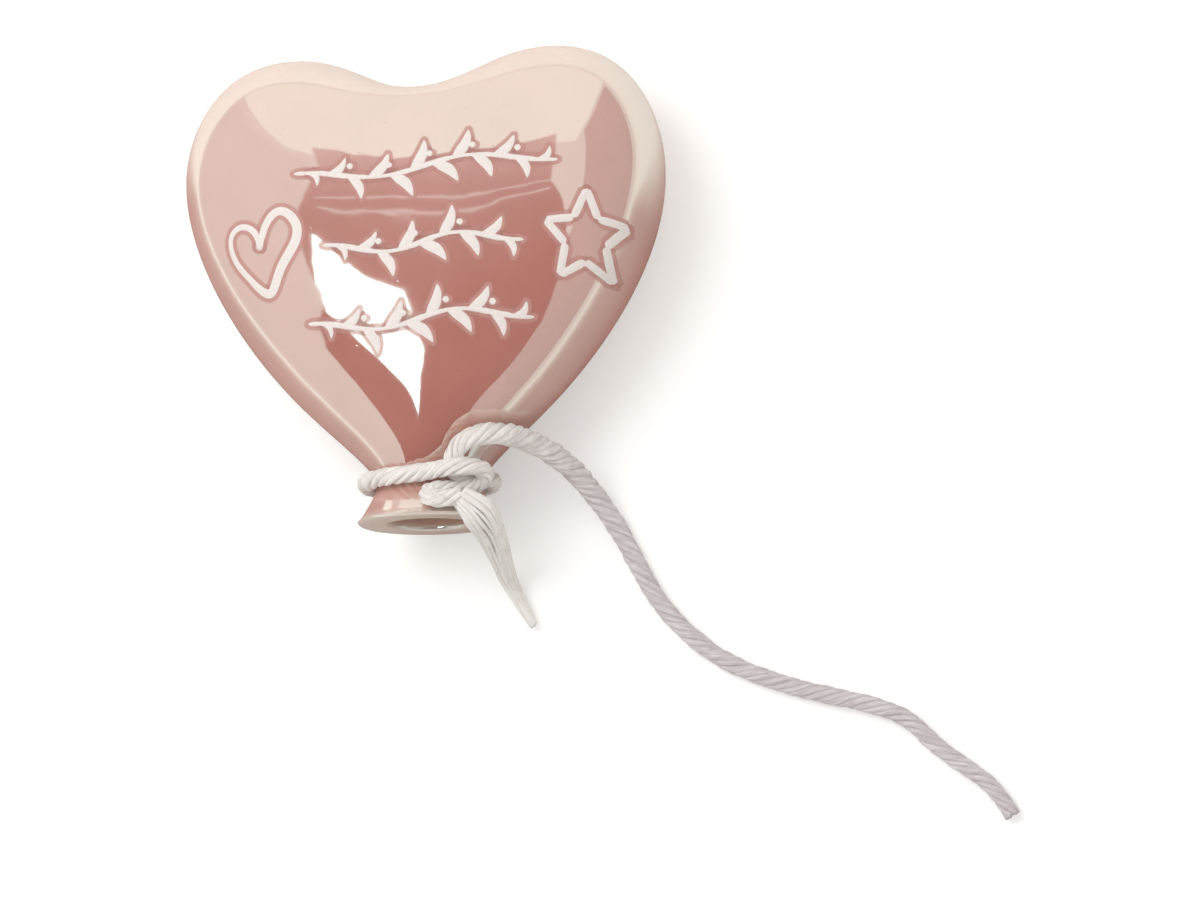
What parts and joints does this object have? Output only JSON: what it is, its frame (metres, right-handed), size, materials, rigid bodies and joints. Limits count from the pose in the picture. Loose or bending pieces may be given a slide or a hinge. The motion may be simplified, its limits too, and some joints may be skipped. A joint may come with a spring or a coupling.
{
  "type": "ceramic heart balloon ornament",
  "caption": "Hollow glazed ceramic ornament shaped like a heart balloon, flat-backed, with a flared neck tied by a length of cotton twine.",
  "frame": {"origin": "middle of the flat back face, on the heart's middle plane", "axes": "+Z out of the heart's face, +Y towards the two lobes, +X to the right seen from the face"},
  "size_m": [0.1671, 0.1617, 0.0401],
  "materials": {
    "glazed_shell": "glossy pearl pink lustre glaze",
    "cotton_twine": "soft twisted cotton"
  },
  "bodies": {
    "root": {"balloon_shell": "glazed_shell", "cord_neck_turn": "cotton_twine", "cord_knot": "cotton_twine", "cord_long_end": "cotton_twine", "cord_short_end": "cotton_twine"}
  },
  "joints": []
}
